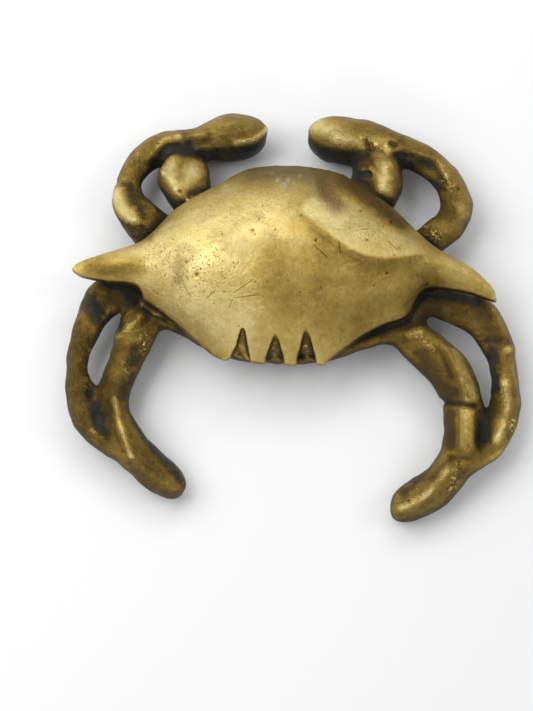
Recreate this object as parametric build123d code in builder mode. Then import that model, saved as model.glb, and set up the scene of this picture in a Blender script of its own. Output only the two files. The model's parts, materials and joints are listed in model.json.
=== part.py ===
from build123d import *
import os

os.makedirs("parts", exist_ok=True)

# A sand-cast brass crab seen as an assembly: shell, underbody, two claws, two
# knobs beside the front of the shell and four legs.
# Millimetres, +Z up, +Y towards the claws, +X to the right with the claws pointing away.
# Left and right in the names are those of this view.

# Overall plan size: every place in the plan follows these two
overall_width = 114.0
overall_length = 106.0
half_width = overall_width / 2
half_length = overall_length / 2

# Shell
rim_height = 11.0
shell_rise = 15.4
shell_wall = 2.8
shell_lip = 0.9
notch_width = 6.2
notch_tip_width = 0.5
notch_start = 7.9
notch_drop = 4.2
# The shell is solid where it rises less than this above its rim
room_least_rise = 5.6

# Underbody
belly_height = 4.2
belly_floor = 2.8
belly_inset = 3.8
belly_shoulder = 6.8
side_wall = 6.5
end_wall = 8.0

# Limbs and knobs
crest_height = 12.5
claw_width = 8.0
outer_leg_width = 7.0
inner_leg_width = 9.0
knob_reach = 6.4
knob_bottom = 3.0
knob_top = 13.2

# Root pegs brazed into the underbody
peg_radius = 1.9
peg_height = 7.7
braze_clearance = 0.05

# How far a cutting solid runs past what it cuts
overrun = 2.0

# Shares that shape a limb's section: where its widest line, shoulders and lower corners lie
girth_share = 0.44
shoulder_share = 0.72
shoulder_roof_share = 0.12
lower_out_share = 0.70
lower_rise_share = 0.22

# Shares along the shell's profile, from its ridge to its foot, and how low the uncut dome reaches
profile_shares = [0.0, 0.3, 0.55, 0.78, 1.0]
dome_base_share = 0.5

# Shell stations from the left spine to the right one: x of half_width, then back
# foot, ridge and front foot of half_length, rise of shell_rise, and how fast the back and the
# front fall away (1 is a flat slope, 2 and more is round)
shell_shares = [
    (-1.009, 0.181, 0.211, 0.234, 0.08, 2.0, 2.0),
    (-0.947, 0.151, 0.213, 0.257, 0.18, 2.0, 2.0),
    (-0.860, 0.125, 0.225, 0.294, 0.28, 2.0, 2.0),
    (-0.754, 0.098, 0.226, 0.328, 0.42, 2.0, 2.0),
    (-0.649, 0.011, 0.215, 0.377, 0.61, 2.2, 2.1),
    (-0.526, -0.075, 0.211, 0.521, 0.79, 2.2, 2.1),
    (-0.351, -0.211, 0.226, 0.645, 0.93, 2.2, 2.1),
    (-0.175, -0.272, 0.253, 0.747, 0.99, 2.1, 2.1),
    (0.000, -0.283, 0.294, 0.758, 1.00, 1.9, 2.0),
    (0.175, -0.253, 0.245, 0.736, 0.95, 1.6, 1.8),
    (0.351, -0.121, 0.200, 0.630, 0.86, 1.5, 1.6),
    (0.491, -0.053, 0.185, 0.506, 0.73, 1.5, 1.6),
    (0.596, 0.079, 0.200, 0.381, 0.56, 1.6, 1.6),
    (0.702, 0.091, 0.187, 0.302, 0.39, 1.6, 1.6),
    (0.807, 0.064, 0.140, 0.234, 0.26, 1.7, 1.7),
    (0.895, 0.034, 0.083, 0.140, 0.16, 1.8, 1.8),
    (0.947, 0.019, 0.049, 0.079, 0.08, 1.8, 1.8),
]

# The shell's margin in plan, in stretches that meet at corners: shares of the half sizes
front_margin_shares = [
    (-0.964, 0.204), (-0.940, 0.230), (-0.875, 0.260), (-0.798, 0.285), (-0.719, 0.308),
    (-0.660, 0.334), (-0.616, 0.374), (-0.562, 0.443), (-0.489, 0.516), (-0.415, 0.566),
    (-0.346, 0.605), (-0.300, 0.628), (-0.249, 0.668), (-0.181, 0.700), (-0.096, 0.713),
    (0.000, 0.715), (0.096, 0.707), (0.189, 0.689), (0.260, 0.658), (0.335, 0.598),
    (0.413, 0.540), (0.476, 0.476), (0.538, 0.402), (0.602, 0.332), (0.678, 0.270),
    (0.764, 0.220), (0.826, 0.164), (0.872, 0.106), (0.900, 0.046),
]
right_spine_shares = [
    (0.900, 0.046), (0.845, 0.068), (0.781, 0.090), (0.702, 0.108), (0.632, 0.114),
    (0.582, 0.100), (0.547, 0.060), (0.526, 0.011),
]
back_right_shares = [
    (0.526, 0.011), (0.491, -0.032), (0.421, -0.060), (0.342, -0.096), (0.267, -0.147),
    (0.204, -0.196), (0.139, -0.257),
]
back_left_shares = [
    (-0.302, -0.232), (-0.367, -0.189), (-0.437, -0.121), (-0.519, -0.049),
    (-0.593, 0.009), (-0.649, 0.045),
]
left_spine_shares = [
    (-0.649, 0.045), (-0.667, 0.098), (-0.716, 0.125), (-0.789, 0.140), (-0.868, 0.157),
    (-0.930, 0.176), (-0.964, 0.204),
]
# Lobes of the back margin: straight lines join each lobe's tip to the scallops beside it
lobe_shares = [(0.139, -0.257), (0.009, -0.262), (-0.139, -0.251), (-0.302, -0.232)]
scallop_shares = [(0.070, -0.250), (-0.066, -0.246), (-0.220, -0.232)]

# Notches in the back margin: x and y where each starts, and x where it leaves the margin
notch_shares = [(0.060, -0.106, 0.066), (-0.070, -0.128, -0.078), (-0.212, -0.108, -0.222)]
notch_end_share = -0.290

# The underbody's outline at its widest
belly_shares = [
    (0.000, 0.704), (-0.175, 0.691), (-0.298, 0.621), (-0.421, 0.553), (-0.526, 0.468),
    (-0.614, 0.368), (-0.667, 0.264), (-0.674, 0.151), (-0.632, 0.038), (-0.535, -0.068),
    (-0.439, -0.125), (-0.351, -0.177), (-0.263, -0.211), (-0.140, -0.230), (0.000, -0.238),
    (0.123, -0.236), (0.211, -0.211), (0.298, -0.162), (0.386, -0.140), (0.474, -0.106),
    (0.544, -0.028), (0.588, 0.085), (0.625, 0.208), (0.607, 0.306), (0.526, 0.408),
    (0.439, 0.506), (0.351, 0.585), (0.228, 0.668),
]

# Limb stations from the root to the tip: x and y of the half sizes, width of the limb's
# width, top and bottom of crest_height, how far the crest leans to the outer side, and how
# much the top is a roof instead of a round back
claw_left_shares = [
    (-0.553, 0.357, 1.19, 0.84, 0.40, 0.10, 0.20),
    (-0.616, 0.428, 1.36, 0.85, 0.40, 0.10, 0.20),
    (-0.673, 0.487, 1.33, 0.96, 0.37, 0.10, 0.30),
    (-0.719, 0.549, 1.14, 0.96, 0.34, 0.15, 0.40),
    (-0.742, 0.618, 0.90, 0.93, 0.32, 0.10, 0.30),
    (-0.735, 0.675, 0.79, 0.90, 0.32, 0.10, 0.30),
    (-0.709, 0.736, 0.80, 0.91, 0.30, 0.20, 0.50),
    (-0.668, 0.791, 0.90, 0.93, 0.27, 0.25, 0.60),
    (-0.618, 0.839, 0.97, 0.93, 0.24, 0.25, 0.60),
    (-0.554, 0.876, 0.97, 0.91, 0.21, 0.20, 0.50),
    (-0.484, 0.886, 0.93, 0.90, 0.16, 0.10, 0.30),
    (-0.425, 0.890, 1.02, 0.94, 0.08, 0.00, 0.20),
    (-0.372, 0.903, 1.32, 0.98, 0.02, 0.00, 0.10),
    (-0.309, 0.915, 1.52, 1.00, -0.04, 0.00, 0.00),
    (-0.239, 0.921, 1.56, 1.00, -0.04, 0.00, 0.00),
    (-0.179, 0.924, 1.40, 0.96, 0.01, 0.00, 0.00),
    (-0.137, 0.926, 1.05, 0.87, 0.11, 0.00, 0.00),
    (-0.109, 0.926, 0.55, 0.74, 0.29, 0.00, 0.00),
]
claw_right_shares = [
    (0.544, 0.302, 1.19, 0.84, 0.40, 0.10, 0.20),
    (0.611, 0.371, 1.20, 0.85, 0.40, 0.10, 0.20),
    (0.670, 0.416, 1.12, 0.94, 0.37, 0.10, 0.30),
    (0.719, 0.466, 1.09, 0.96, 0.34, 0.15, 0.40),
    (0.747, 0.534, 1.07, 0.96, 0.32, 0.15, 0.40),
    (0.746, 0.601, 1.05, 0.93, 0.32, 0.10, 0.40),
    (0.721, 0.667, 0.97, 0.93, 0.30, 0.25, 0.60),
    (0.684, 0.724, 0.95, 0.93, 0.29, 0.35, 0.80),
    (0.635, 0.773, 0.97, 0.93, 0.26, 0.35, 0.80),
    (0.575, 0.815, 1.02, 0.93, 0.22, 0.30, 0.70),
    (0.505, 0.852, 1.00, 0.93, 0.18, 0.20, 0.50),
    (0.439, 0.878, 1.07, 0.96, 0.10, 0.10, 0.30),
    (0.375, 0.895, 1.30, 0.99, 0.02, 0.00, 0.10),
    (0.305, 0.898, 1.52, 1.00, -0.04, 0.00, 0.00),
    (0.221, 0.904, 1.55, 1.00, -0.04, 0.00, 0.00),
    (0.156, 0.915, 1.38, 0.96, 0.01, 0.00, 0.00),
    (0.109, 0.922, 1.02, 0.87, 0.11, 0.00, 0.00),
    (0.079, 0.924, 0.53, 0.74, 0.29, 0.00, 0.00),
]
outer_leg_left_shares = [
    (-0.590, 0.230, 1.29, 0.83, 0.40, 0.00, 0.10),
    (-0.690, 0.200, 1.43, 0.83, 0.40, 0.00, 0.10),
    (-0.772, 0.143, 1.50, 0.84, 0.38, 0.10, 0.20),
    (-0.847, 0.077, 1.43, 0.85, 0.35, 0.20, 0.30),
    (-0.884, -0.009, 1.23, 0.86, 0.34, 0.20, 0.40),
    (-0.912, -0.087, 1.00, 0.85, 0.32, 0.10, 0.40),
    (-0.939, -0.188, 0.86, 0.84, 0.30, 0.00, 0.50),
    (-0.946, -0.279, 0.90, 0.84, 0.29, -0.10, 0.60),
    (-0.939, -0.361, 0.96, 0.84, 0.27, -0.10, 0.60),
    (-0.923, -0.436, 0.96, 0.83, 0.26, 0.00, 0.50),
    (-0.895, -0.511, 0.94, 0.82, 0.26, 0.10, 0.40),
    (-0.853, -0.570, 0.89, 0.78, 0.26, 0.10, 0.40),
    (-0.796, -0.611, 0.86, 0.75, 0.26, 0.00, 0.30),
    (-0.733, -0.648, 0.77, 0.70, 0.27, 0.00, 0.30),
]
outer_leg_right_shares = [
    (0.530, 0.088, 1.14, 0.83, 0.40, 0.00, 0.10),
    (0.618, 0.078, 1.17, 0.83, 0.40, 0.00, 0.10),
    (0.680, 0.066, 1.23, 0.83, 0.38, 0.00, 0.20),
    (0.747, 0.040, 1.29, 0.83, 0.37, 0.10, 0.20),
    (0.818, -0.001, 1.29, 0.85, 0.35, 0.10, 0.30),
    (0.870, -0.066, 1.20, 0.86, 0.34, 0.10, 0.30),
    (0.902, -0.137, 1.06, 0.86, 0.32, 0.00, 0.30),
    (0.925, -0.211, 0.97, 0.85, 0.30, 0.00, 0.30),
    (0.937, -0.298, 0.97, 0.85, 0.29, -0.10, 0.40),
    (0.939, -0.380, 1.01, 0.85, 0.27, -0.10, 0.40),
    (0.932, -0.459, 1.04, 0.83, 0.26, -0.10, 0.40),
    (0.912, -0.537, 1.03, 0.82, 0.26, -0.10, 0.40),
    (0.877, -0.608, 0.99, 0.79, 0.26, 0.00, 0.40),
    (0.821, -0.668, 0.89, 0.76, 0.26, 0.00, 0.30),
    (0.754, -0.712, 0.80, 0.70, 0.27, 0.00, 0.30),
]
inner_leg_left_shares = [
    (-0.544, 0.085, 1.00, 0.84, 0.40, 0.00, 0.10),
    (-0.625, 0.012, 1.13, 0.85, 0.38, 0.10, 0.20),
    (-0.674, -0.064, 1.18, 0.93, 0.34, 0.20, 0.30),
    (-0.702, -0.138, 1.11, 0.91, 0.30, 0.20, 0.30),
    (-0.730, -0.209, 0.98, 0.90, 0.29, 0.10, 0.30),
    (-0.756, -0.287, 0.93, 0.88, 0.27, 0.10, 0.30),
    (-0.779, -0.380, 0.88, 0.86, 0.26, 0.00, 0.30),
    (-0.781, -0.451, 0.93, 0.86, 0.24, -0.10, 0.50),
    (-0.758, -0.530, 1.02, 0.86, 0.21, -0.10, 0.60),
    (-0.716, -0.600, 1.02, 0.85, 0.16, 0.00, 0.60),
    (-0.670, -0.661, 1.04, 0.82, 0.10, 0.10, 0.50),
    (-0.618, -0.716, 1.07, 0.78, 0.02, 0.10, 0.50),
    (-0.565, -0.761, 1.04, 0.75, -0.03, 0.10, 0.40),
    (-0.519, -0.795, 0.91, 0.70, -0.03, 0.00, 0.30),
    (-0.490, -0.816, 0.71, 0.64, 0.02, 0.00, 0.20),
    (-0.471, -0.829, 0.42, 0.54, 0.11, 0.00, 0.10),
]
inner_leg_right_shares = [
    (0.432, 0.016, 1.00, 0.84, 0.40, 0.00, 0.10),
    (0.519, -0.083, 1.07, 0.85, 0.38, 0.10, 0.20),
    (0.556, -0.125, 1.09, 0.94, 0.34, 0.20, 0.30),
    (0.607, -0.173, 1.16, 0.94, 0.30, 0.25, 0.40),
    (0.667, -0.232, 1.22, 0.93, 0.29, 0.30, 0.50),
    (0.709, -0.292, 1.21, 0.93, 0.27, 0.30, 0.60),
    (0.735, -0.359, 1.16, 0.93, 0.26, 0.25, 0.60),
    (0.746, -0.426, 1.10, 0.90, 0.24, 0.20, 0.50),
    (0.746, -0.501, 1.07, 0.91, 0.22, 0.20, 0.60),
    (0.742, -0.579, 1.01, 0.90, 0.19, 0.15, 0.60),
    (0.726, -0.652, 0.95, 0.85, 0.16, 0.10, 0.50),
    (0.695, -0.724, 1.01, 0.83, 0.10, 0.10, 0.60),
    (0.645, -0.788, 1.10, 0.82, 0.02, 0.10, 0.80),
    (0.587, -0.840, 1.12, 0.78, -0.03, 0.10, 0.80),
    (0.532, -0.873, 1.04, 0.75, -0.03, 0.00, 0.80),
    (0.481, -0.902, 0.91, 0.70, 0.00, 0.00, 0.60),
    (0.451, -0.913, 0.71, 0.64, 0.06, 0.00, 0.40),
    (0.431, -0.917, 0.47, 0.56, 0.14, 0.00, 0.20),
]

# Knobs: root inside the underbody's wall, root outside it and centre, in shares of the
# half sizes, then the outline about the centre in shares of knob_reach
knob_left_places_shares = [(-0.430, 0.520), (-0.470, 0.615), (-0.484, 0.679)]
knob_left_shares = [
    (-0.94, 0.41), (-1.02, -0.16), (-0.78, -0.56), (-0.47, -1.02), (0.09, -1.41),
    (0.80, -1.09), (1.06, -0.23), (1.06, 0.47), (0.72, 1.02), (-0.06, 1.25), (-0.69, 0.94),
]
knob_right_places_shares = [(0.360, 0.530), (0.386, 0.615), (0.391, 0.679)]
knob_right_shares = [
    (-1.02, 0.44), (-1.00, -0.08), (-0.75, -0.62), (-0.20, -1.09), (0.48, -1.17),
    (0.83, -0.70), (1.03, -0.12), (1.02, 0.44), (0.73, 0.94), (-0.12, 1.17), (-0.86, 0.86),
]
# Heights of the knob's levels between its bottom and its top, and the outline's size there
knob_level_shares = [(0.0, 0.70), (0.2, 0.92), (0.5, 1.0), (0.78, 0.96), (0.93, 0.80), (1.0, 0.58)]


def plan_points(shares):
    """Places in the plan from shares of the half sizes."""
    return [(x * half_width, y * half_length) for x, y in shares]


def shell_section(station, drop):
    """One upright section of the shell's dome, lowered by drop, with straight sides below its foot."""
    x_share, back_share, ridge_share, front_share, rise_share, back_power, front_power = station
    ridge = ridge_share * half_length
    crown = rim_height + rise_share * shell_rise - drop
    fall = rise_share * shell_rise - shell_lip
    base = rim_height * dome_base_share

    def side(foot, power):
        return [(ridge + (foot - ridge) * t, crown - fall * t ** power) for t in profile_shares]

    back_foot = back_share * half_length
    front_foot = front_share * half_length
    back_side = side(back_foot, back_power)
    front_side = side(front_foot, front_power)
    with BuildSketch(Plane.YZ.offset(x_share * half_width)) as section:
        with BuildLine():
            Spline(*back_side)
            Spline(*front_side)
            Polyline(back_side[-1], (back_foot, base), (front_foot, base), front_side[-1])
        make_face()
    return section.sketch


def limb_direction(rows, index):
    """Level direction along a limb at one of its stations, from the stations around it."""
    points = plan_points([row[:2] for row in rows])
    before = Vector(points[max(index - 1, 0)])
    after = Vector(points[min(index + 1, len(points) - 1)])
    return (after - before).normalized()


def limb_section(rows, index, width, outer_side):
    """One closed section of a limb, upright and square to its path."""
    x_share, y_share, width_share, top_share, bottom_share, lean, roof = rows[index]
    half = width_share * width / 2
    top = top_share * crest_height
    bottom = bottom_share * crest_height
    girth = bottom + (top - bottom) * girth_share
    shoulder = shoulder_share - shoulder_roof_share * roof
    crest = (lean * half, top)
    keel = (0, bottom)

    def flank(side):
        high = (lean * half + (side - lean) * half * shoulder, girth + (top - girth) * shoulder)
        low = (side * half * lower_out_share, bottom + (girth - bottom) * lower_rise_share)
        return [crest, high, (side * half, girth), low, keel]

    along = limb_direction(rows, index)
    across = Vector(-along.Y, along.X) * outer_side
    plane = Plane(
        origin=(x_share * half_width, y_share * half_length, 0),
        x_dir=across,
        z_dir=across.cross(Vector(0, 0, 1)),
    )
    with BuildSketch(plane) as section:
        with BuildLine():
            Spline(*flank(1), tangents=[(1, -roof), (-1, 0)])
            Spline(*flank(-1), tangents=[(-1, -roof), (1, 0)])
        make_face()
    return section.sketch


def root_peg(places):
    """Plane and length of a root peg, from its outer place to its inner one."""
    inner, outer = [Vector(x, y, peg_height) for x, y in plan_points(places)]
    return Plane(origin=outer, z_dir=inner - outer), (inner - outer).length


def limb_peg(rows):
    """Peg of a limb, between its first two stations."""
    return root_peg([rows[0][:2], rows[1][:2]])


def build_limb(rows, width, outer_side, blocks):
    """A limb lofted through its stations, cut by what it meets, flat on the table, with its peg."""
    peg_plane, peg_length = limb_peg(rows)
    with BuildPart() as limb:
        loft(sections=[limb_section(rows, i, width, outer_side) for i in range(len(rows))])
        for block in blocks:
            add(block, mode=Mode.SUBTRACT)
        split(bisect_by=Plane.XY, keep=Keep.TOP)
        largest = limb.part.solids().sort_by(SortBy.VOLUME)[-1]
        add(largest, mode=Mode.REPLACE)
        with BuildSketch(peg_plane):
            Circle(peg_radius)
        extrude(amount=peg_length)
    return limb


def build_knob(places, outline, blocks):
    """A knob lofted through level outlines, cut by what it meets, with its peg."""
    peg_plane, peg_length = root_peg(places[:2])
    centre = Vector(plan_points(places)[2])
    with BuildPart() as knob:
        for height_share, size_share in knob_level_shares:
            height = knob_bottom + (knob_top - knob_bottom) * height_share
            reach = knob_reach * size_share
            with BuildSketch(Plane.XY.offset(height)):
                with BuildLine():
                    Spline(*[centre + Vector(x, y) * reach for x, y in outline], periodic=True)
                make_face()
        loft()
        for block in blocks:
            add(block, mode=Mode.SUBTRACT)
        largest = knob.part.solids().sort_by(SortBy.VOLUME)[-1]
        add(largest, mode=Mode.REPLACE)
        with BuildSketch(peg_plane):
            Circle(peg_radius)
        extrude(amount=peg_length)
    return knob


# The hollow inside shell and underbody is one oval well, centred in the underbody
belly_points = plan_points(belly_shares)
belly_x = [x for x, y in belly_points]
belly_y = [y for x, y in belly_points]
belly_half_width = (max(belly_x) - min(belly_x)) / 2
belly_half_length = (max(belly_y) - min(belly_y)) / 2
well_x = (min(belly_x) + max(belly_x)) / 2
well_y = (min(belly_y) + max(belly_y)) / 2
well_half_width = belly_half_width - side_wall
well_half_length = belly_half_length - end_wall

# Shell without its hollow
with BuildPart() as shell_block:
    loft(sections=[shell_section(station, 0) for station in shell_shares])
    with BuildSketch(Plane.XY.offset(rim_height)):
        with BuildLine():
            Spline(*plan_points(front_margin_shares))
            Spline(*plan_points(right_spine_shares))
            Spline(*plan_points(back_right_shares))
            lobes = plan_points(lobe_shares)
            for start, scallop, end in zip(lobes, plan_points(scallop_shares), lobes[1:]):
                Line(start, scallop)
                Line(scallop, end)
            Spline(*plan_points(back_left_shares))
            Spline(*plan_points(left_spine_shares))
        make_face()
    extrude(amount=shell_rise + overrun, mode=Mode.INTERSECT)

# Room inside the shell: the dome lowered by the wall, within the oval well
with BuildPart() as shell_room:
    deep = [row for row in shell_shares if row[4] * shell_rise > room_least_rise]
    loft(sections=[shell_section(station, shell_wall) for station in deep])
    with BuildSketch(Plane.XY.offset(rim_height)):
        with Locations((well_x, well_y)):
            Ellipse(well_half_width, well_half_length)
    extrude(amount=shell_rise, mode=Mode.INTERSECT)

# Shell: hollow underneath, three notches in the back margin
with BuildPart() as carapace:
    add(shell_block.part)
    add(shell_room.part, mode=Mode.SUBTRACT)
    notch_end = notch_end_share * half_length
    notch_roof = rim_height + shell_rise
    for x_share, y_share, end_share in notch_shares:
        ends = [
            (x_share, y_share * half_length, notch_tip_width, rim_height + notch_start),
            (end_share, notch_end, notch_width, rim_height - notch_drop),
        ]
        for across_share, y, width, floor in ends:
            with BuildSketch(Plane.XZ.offset(-y)):
                with Locations((across_share * half_width, (floor + notch_roof) / 2)):
                    Rectangle(width, notch_roof - floor)
        loft(ruled=True, mode=Mode.SUBTRACT)

# What a limb must leave free: all that stands on the underbody's outline at its widest
with BuildPart() as belly_room:
    with BuildSketch():
        with BuildLine():
            Spline(*belly_points, periodic=True)
        make_face()
    extrude(amount=rim_height + overrun)

# Underbody without its hollow: a boat's bottom under upright sides that end in a flat rim
with BuildPart() as belly_block:
    for height, inset in [(belly_height, belly_inset), (belly_shoulder, 0)]:
        x_size = 1 - inset / belly_half_width
        y_size = 1 - inset / belly_half_length
        drawn_in = [
            (well_x + (x - well_x) * x_size, well_y + (y - well_y) * y_size)
            for x, y in belly_points
        ]
        with BuildSketch(Plane.XY.offset(height)):
            with BuildLine():
                Spline(*drawn_in, periodic=True)
            make_face()
    loft(ruled=True)
    with BuildSketch(Plane.XY.offset(belly_shoulder)):
        with BuildLine():
            Spline(*belly_points, periodic=True)
        make_face()
    extrude(amount=rim_height - belly_shoulder)

neighbours = [belly_room.part, shell_block.part]
claw_left = build_limb(claw_left_shares, claw_width, 1, neighbours)
claw_right = build_limb(claw_right_shares, claw_width, -1, neighbours)
inner_leg_left = build_limb(inner_leg_left_shares, inner_leg_width, -1, neighbours)
inner_leg_right = build_limb(inner_leg_right_shares, inner_leg_width, 1, neighbours)
outer_leg_left = build_limb(
    outer_leg_left_shares, outer_leg_width, -1, neighbours + [inner_leg_left.part]
)
outer_leg_right = build_limb(
    outer_leg_right_shares, outer_leg_width, 1, neighbours + [inner_leg_right.part]
)
eye_knob_left = build_knob(
    knob_left_places_shares, knob_left_shares, neighbours + [claw_left.part]
)
eye_knob_right = build_knob(
    knob_right_places_shares, knob_right_shares, neighbours + [claw_right.part]
)

# Underbody: the well from above and a bore for every root peg
limb_tables = [
    claw_left_shares, claw_right_shares, outer_leg_left_shares,
    outer_leg_right_shares, inner_leg_left_shares, inner_leg_right_shares,
]
pegs = [limb_peg(rows) for rows in limb_tables]
pegs += [root_peg(places[:2]) for places in (knob_left_places_shares, knob_right_places_shares)]
with BuildPart() as underbody:
    add(belly_block.part)
    with BuildSketch(Plane.XY.offset(rim_height)):
        with Locations((well_x, well_y)):
            Ellipse(well_half_width, well_half_length)
    extrude(amount=-(rim_height - belly_height - belly_floor), mode=Mode.SUBTRACT)
    for peg_plane, peg_length in pegs:
        with BuildSketch(peg_plane):
            Circle(peg_radius + braze_clearance)
        extrude(amount=peg_length + braze_clearance, mode=Mode.SUBTRACT)

pieces = {
    "carapace": carapace,
    "underbody": underbody,
    "claw_left": claw_left,
    "claw_right": claw_right,
    "eye_knob_left": eye_knob_left,
    "eye_knob_right": eye_knob_right,
    "outer_leg_left": outer_leg_left,
    "outer_leg_right": outer_leg_right,
    "inner_leg_left": inner_leg_left,
    "inner_leg_right": inner_leg_right,
}

# The origin is on the table, under the middle of the crab's box
whole = Compound([piece.part for piece in pieces.values()]).bounding_box()
middle = whole.center()
to_origin = Location((-middle.X, -middle.Y, 0))
for node_name, piece in pieces.items():
    piece.part.move(to_origin)
    piece.part.label = node_name
    export_step(piece.part, f"parts/{node_name}.step")
    print(node_name, round(piece.part.volume), "mm3")
print("moved by", to_origin.position, "overall", whole.size)
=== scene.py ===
import json
import math

import bpy
import numpy as np
import openvdb
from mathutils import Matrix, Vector


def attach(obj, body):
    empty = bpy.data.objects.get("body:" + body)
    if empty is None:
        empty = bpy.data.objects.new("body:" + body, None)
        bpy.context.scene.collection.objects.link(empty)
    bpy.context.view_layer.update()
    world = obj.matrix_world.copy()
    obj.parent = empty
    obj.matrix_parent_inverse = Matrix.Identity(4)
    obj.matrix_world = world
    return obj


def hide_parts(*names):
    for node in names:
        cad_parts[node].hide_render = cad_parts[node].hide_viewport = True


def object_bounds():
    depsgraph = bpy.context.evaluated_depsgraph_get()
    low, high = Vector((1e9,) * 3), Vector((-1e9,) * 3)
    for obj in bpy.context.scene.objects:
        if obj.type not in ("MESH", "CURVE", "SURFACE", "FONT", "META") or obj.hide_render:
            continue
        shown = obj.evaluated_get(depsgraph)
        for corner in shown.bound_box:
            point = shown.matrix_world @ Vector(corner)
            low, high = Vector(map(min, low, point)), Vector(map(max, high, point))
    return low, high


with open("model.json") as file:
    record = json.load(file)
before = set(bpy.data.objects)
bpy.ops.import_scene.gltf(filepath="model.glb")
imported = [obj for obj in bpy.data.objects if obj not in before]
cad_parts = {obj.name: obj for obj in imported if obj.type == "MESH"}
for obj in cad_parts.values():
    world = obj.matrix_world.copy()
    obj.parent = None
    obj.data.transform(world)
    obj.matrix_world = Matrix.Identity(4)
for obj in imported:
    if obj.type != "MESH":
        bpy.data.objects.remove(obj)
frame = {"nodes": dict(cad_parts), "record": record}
cad_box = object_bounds()

# A cast brass crab. Its pieces are sculpted in a grid of distances to their surfaces, in
# millimetres, and then written as meshes in metres. Places on it that come from the photograph are
# pixels of its 533 x 711 frame, from the left and from the top.
METRES = 0.001

# Grid: the pitch of its points, the margin round the object, and how far distances are measured
PITCH = 0.35
MARGIN = 4.0
REACH = 5.0

# The photograph's camera: elevation in degrees, distance and aim in millimetres, focal length
# in pixels
IMAGE_WIDTH = 533
IMAGE_HEIGHT = 711
CAMERA_ELEVATION = math.radians(76)
CAMERA_DISTANCE = 400.0
CAMERA_AIM = (-6.25, -11.95, 8.0)
FOCAL_PIXELS = 1596.8
BACK = Vector((0, -math.cos(CAMERA_ELEVATION), math.sin(CAMERA_ELEVATION)))
UP = Vector((0, math.sin(CAMERA_ELEVATION), math.cos(CAMERA_ELEVATION)))
EYE = Vector(CAMERA_AIM) + BACK * CAMERA_DISTANCE

SHELL = "carapace"
TRAY = "underbody"
SLOTS = {row["node"]: row["material_slot"] for row in frame["record"]["subparts"]}

# How widely each piece runs over into its neighbours where they meet, like a cast fillet
LIMB_FILLET = 3.0
SHELL_FILLET = 1.1
# How far the limbs' edges are rounded
EDGE_ROUNDING = 1.0

# Strokes that name no level of their own end this far under the table
UNDER_TABLE = -1.0

# Neighbouring pieces share this much of the casting inside, and their skins differ by a hair
PIECE_OVERLAP = 0.25
SKIN_STEP = 0.012


def grid_frame():
    """First index and shape of the grid, from the CAD model's box."""
    low = np.array(cad_box[0]) / METRES - MARGIN
    high = np.array(cad_box[1]) / METRES + MARGIN
    first = np.floor(low / PITCH).astype(int)
    return first, tuple(np.ceil(high / PITCH).astype(int) - first)


FIRST, SHAPE = grid_frame()
AXES = [(FIRST[i] + np.arange(SHAPE[i])).astype(np.float32) * PITCH for i in range(3)]


def photo_places(x, y, z):
    """Pixels of the photograph at which places on the object are seen."""
    depth = -(y - EYE.y) * BACK.y - (z - EYE.z) * BACK.z
    u = IMAGE_WIDTH / 2 + FOCAL_PIXELS * (x - EYE.x) / depth
    v = IMAGE_HEIGHT / 2 - FOCAL_PIXELS * ((y - EYE.y) * UP.y + (z - EYE.z) * UP.z) / depth
    return u, v


def block_places(across, along):
    """Pixels of the photograph at which a block of the grid is seen."""
    return photo_places(
        AXES[0][across][:, None, None],
        AXES[1][along][None, :, None],
        AXES[2][None, None, :],
    )


def eased(share):
    """A share from 0 to 1 with a soft start and end."""
    return share * share * (3 - 2 * share)


def node_distances(name):
    """Distances to one CAD node's surface on the whole grid, negative inside."""
    mesh = frame["nodes"][name].data
    mesh.calc_loop_triangles()
    points = np.empty(len(mesh.vertices) * 3, np.float32)
    mesh.vertices.foreach_get("co", points)
    corners = np.empty(len(mesh.loop_triangles) * 3, np.int32)
    mesh.loop_triangles.foreach_get("vertices", corners)
    level_set = openvdb.FloatGrid.createLevelSetFromPolygons(
        points.reshape(-1, 3) / METRES,
        triangles=corners.reshape(-1, 3).astype(np.uint32),
        transform=openvdb.createLinearTransform(PITCH),
        halfWidth=REACH / PITCH,
    )
    field = np.full(SHAPE, REACH, np.float32)
    level_set.copyToArray(field, ijk=tuple(int(i) for i in FIRST))
    return field


# How far a blur's bell curve is followed, in its own sizes, and a divisor's least value
BLUR_REACH = 2.5
TINY = 1e-6


def smooth_union(a, b, width):
    """Union of two fields that run over into each other within a width."""
    blend = np.maximum(width - np.abs(a - b), 0) / width
    return np.minimum(a, b) - blend * blend * width / 4


def blur(field, size):
    """A field averaged over a bell curve of that size in grid steps."""
    reach = int(math.ceil(size * BLUR_REACH))
    weights = np.exp(-0.5 * (np.arange(-reach, reach + 1) / size) ** 2)
    weights = (weights / weights.sum()).astype(np.float32)
    for axis in range(3):
        spare = [(0, 0)] * 3
        spare[axis] = (reach, reach)
        wide = np.pad(field, spare, mode="edge")
        field = np.zeros_like(field)
        for i, weight in enumerate(weights):
            cut = [slice(None)] * 3
            cut[axis] = slice(i, i + field.shape[axis])
            field += weight * wide[tuple(cut)]
    return field


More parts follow.
